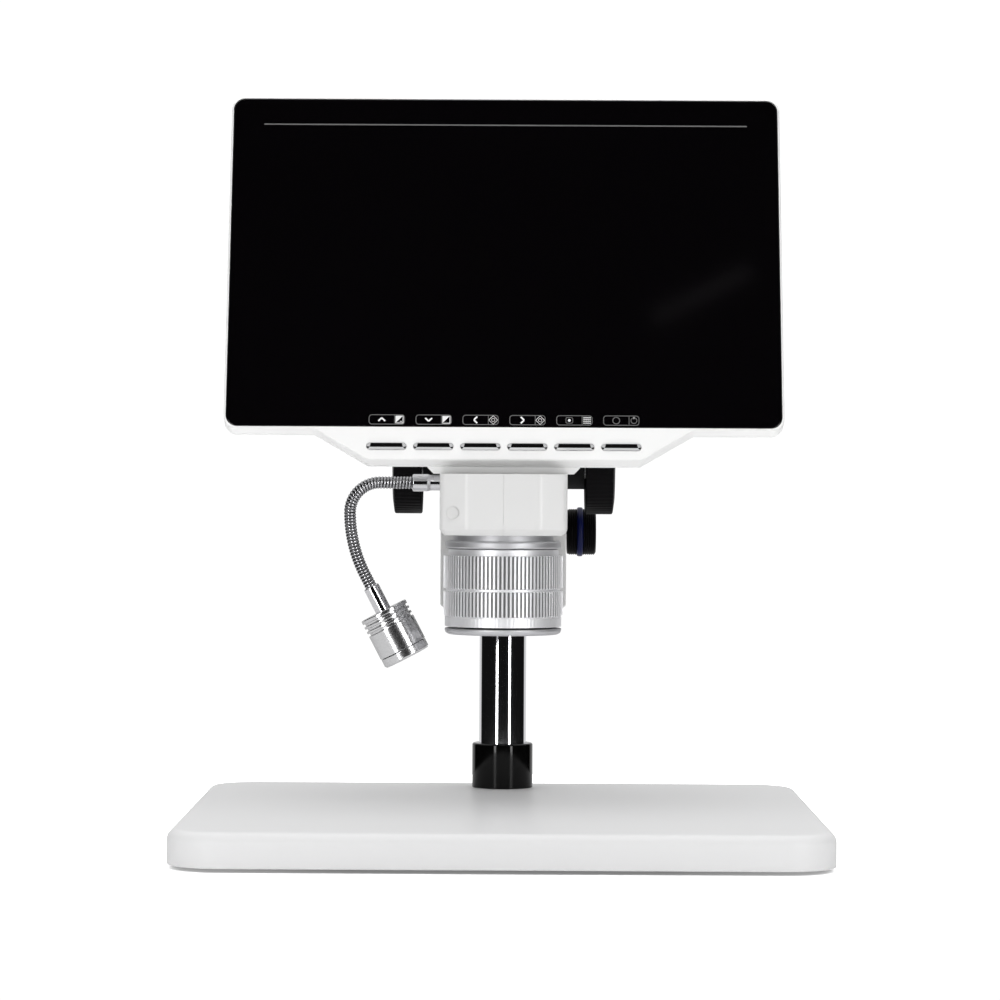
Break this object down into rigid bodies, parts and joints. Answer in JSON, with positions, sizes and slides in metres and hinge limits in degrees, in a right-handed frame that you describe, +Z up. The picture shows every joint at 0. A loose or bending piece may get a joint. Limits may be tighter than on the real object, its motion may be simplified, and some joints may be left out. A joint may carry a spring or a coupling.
{
  "type": "digital microscope",
  "caption": "Free-standing digital microscope: tilted flat screen over a camera head with a ribbed lens ring, on a post and wide base, with focus knobs and a gooseneck lamp.",
  "frame": {"origin": "centre of the base's footprint, on the surface it stands on", "axes": "+X to the user's right along the base's long side, +Y away from the user, +Z up along the post"},
  "size_m": [0.252, 0.231, 0.3027],
  "materials": {
    "white_shell": "satin",
    "plate_steel": "satin",
    "feet_rubber": "matte",
    "screws": "satin",
    "post_chrome": "polished",
    "collar_black": "gloss",
    "black_plastic": "satin",
    "arm_black": "satin paint",
    "ring_blue": "satin",
    "steel": "satin",
    "brass": "satin",
    "glass_black": "gloss",
    "panel": "satin",
    "board_green": "satin",
    "sockets": "satin",
    "button_chrome": "polished",
    "lens_silver": "satin anodised",
    "lens_black": "matte anodised",
    "clear_glass": "gloss",
    "led_white": "gloss"
  },
  "bodies": {
    "stand": {"base_shell": "white_shell", "base_plate": "plate_steel", "base_feet": "feet_rubber", "base_screws": "screws", "post": "post_chrome", "post_plug": "screws", "post_bolt": "screws", "post_collar": "collar_black", "post_cap": "black_plastic"},
    "bush": {"post_bush": "black_plastic"},
    "arm": {"arm_block": "arm_black", "lock_pad": "brass"},
    "clamp": {"lock_knob": "black_plastic", "lock_ring": "ring_blue", "lock_stud": "steel"},
    "focus": {"focus_shaft": "steel", "focus_pinion": "brass", "focus_knob_left": "black_plastic", "focus_knob_right": "black_plastic"},
    "head": {"carriage": "white_shell", "rack": "brass", "housing_left": "white_shell", "housing_right": "white_shell", "screw_plug": "white_shell", "housing_screws": "screws", "head_plinth": "white_shell", "plinth_screws": "screws", "front_frame": "white_shell", "screen_glass": "glass_black", "lcd_panel": "panel", "rear_cover": "white_shell", "cover_screws": "screws", "main_board": "board_green", "port_sockets": "sockets", "button_board": "board_green", "tact_switches": "sockets", "lens_mount": "lens_silver", "lens_barrel": "lens_black", "end_ring": "lens_silver", "led_window": "clear_glass", "led_board": "board_green", "led_lights": "led_white", "sensor_board": "board_green", "lamp_socket": "post_chrome"},
    "lens_turn": {"focus_ring": "lens_silver"},
    "lens_cell": {"lens_cell": "lens_black", "lens_elements": "clear_glass"},
    "neck": {"gooseneck": "post_chrome"},
    "lamp": {"lamp_ferrule": "post_chrome", "lamp_body": "lens_silver", "lamp_ring": "lens_silver", "lamp_lens": "clear_glass", "lamp_board": "board_green"},
    "button_up": {"button_up": "button_chrome"},
    "button_down": {"button_down": "button_chrome"},
    "button_left": {"button_left": "button_chrome"},
    "button_right": {"button_right": "button_chrome"},
    "button_menu": {"button_menu": "button_chrome"},
    "button_power": {"button_power": "button_chrome"}
  },
  "joints": [
    {"name": "post_slide", "type": "slide", "parent": "stand", "child": "bush", "axis": [0, 0, 1], "range_m": [-0.03, 0.06]},
    {"name": "post_swivel", "type": "hinge", "parent": "bush", "child": "arm", "pos_m": [0, 0.092, 0.132], "axis": [0, 0, 1], "range_deg": [-90, 90]},
    {"name": "clamp_turn", "type": "hinge", "parent": "arm", "child": "clamp", "pos_m": [0.03, 0.092, 0.1242], "axis": [1, 0, 0], "range_deg": [-180, 180]},
    {"name": "focus_slide", "type": "slide", "parent": "arm", "child": "head", "axis": [0, 0, 1], "range_m": [-0.02, 0.02]},
    {"name": "focus_turn", "type": "hinge", "parent": "arm", "child": "focus", "pos_m": [0, 0.064, 0.151], "axis": [1, 0, 0], "range_deg": [-200, 200]},
    {"name": "lens_turn", "type": "hinge", "parent": "head", "child": "lens_turn", "pos_m": [0, 0, 0.1], "axis": [0, 0, 1], "range_deg": [-140, 140]},
    {"name": "cell_slide", "type": "slide", "parent": "head", "child": "lens_cell", "axis": [0, 0, 1], "range_m": [-0.0015, 0.0015]},
    {"name": "neck_swing", "type": "hinge", "parent": "head", "child": "neck", "pos_m": [-0.0369, 0.006, 0.145], "axis": [0, 0, 1], "range_deg": [-40, 40], "deforming": ["gooseneck"]},
    {"name": "lamp_tilt", "type": "hinge", "parent": "neck", "child": "lamp", "pos_m": [-0.05348, 0.006, 0.10317], "axis": [0, 1, 0], "range_deg": [-8, 40]},
    {"name": "press_up", "type": "slide", "parent": "head", "child": "button_up", "axis": [0, 0.9573, -0.289], "range_m": [0, 0.0005], "stiffness_N_per_m": 1500, "springref_m": -0.0004},
    {"name": "press_down", "type": "slide", "parent": "head", "child": "button_down", "axis": [0, 0.9573, -0.289], "range_m": [0, 0.0005], "stiffness_N_per_m": 1500, "springref_m": -0.0004},
    {"name": "press_left", "type": "slide", "parent": "head", "child": "button_left", "axis": [0, 0.9573, -0.289], "range_m": [0, 0.0005], "stiffness_N_per_m": 1500, "springref_m": -0.0004},
    {"name": "press_right", "type": "slide", "parent": "head", "child": "button_right", "axis": [0, 0.9573, -0.289], "range_m": [0, 0.0005], "stiffness_N_per_m": 1500, "springref_m": -0.0004},
    {"name": "press_menu", "type": "slide", "parent": "head", "child": "button_menu", "axis": [0, 0.9573, -0.289], "range_m": [0, 0.0005], "stiffness_N_per_m": 1500, "springref_m": -0.0004},
    {"name": "press_power", "type": "slide", "parent": "head", "child": "button_power", "axis": [0, 0.9573, -0.289], "range_m": [0, 0.0005], "stiffness_N_per_m": 1500, "springref_m": -0.0004}
  ],
  "couplings": [
    {"joint": "focus_turn", "follows": "focus_slide", "rad_per_m": -166.67},
    {"joint": "cell_slide", "follows": "lens_turn", "m_per_rad": 0.0006}
  ]
}
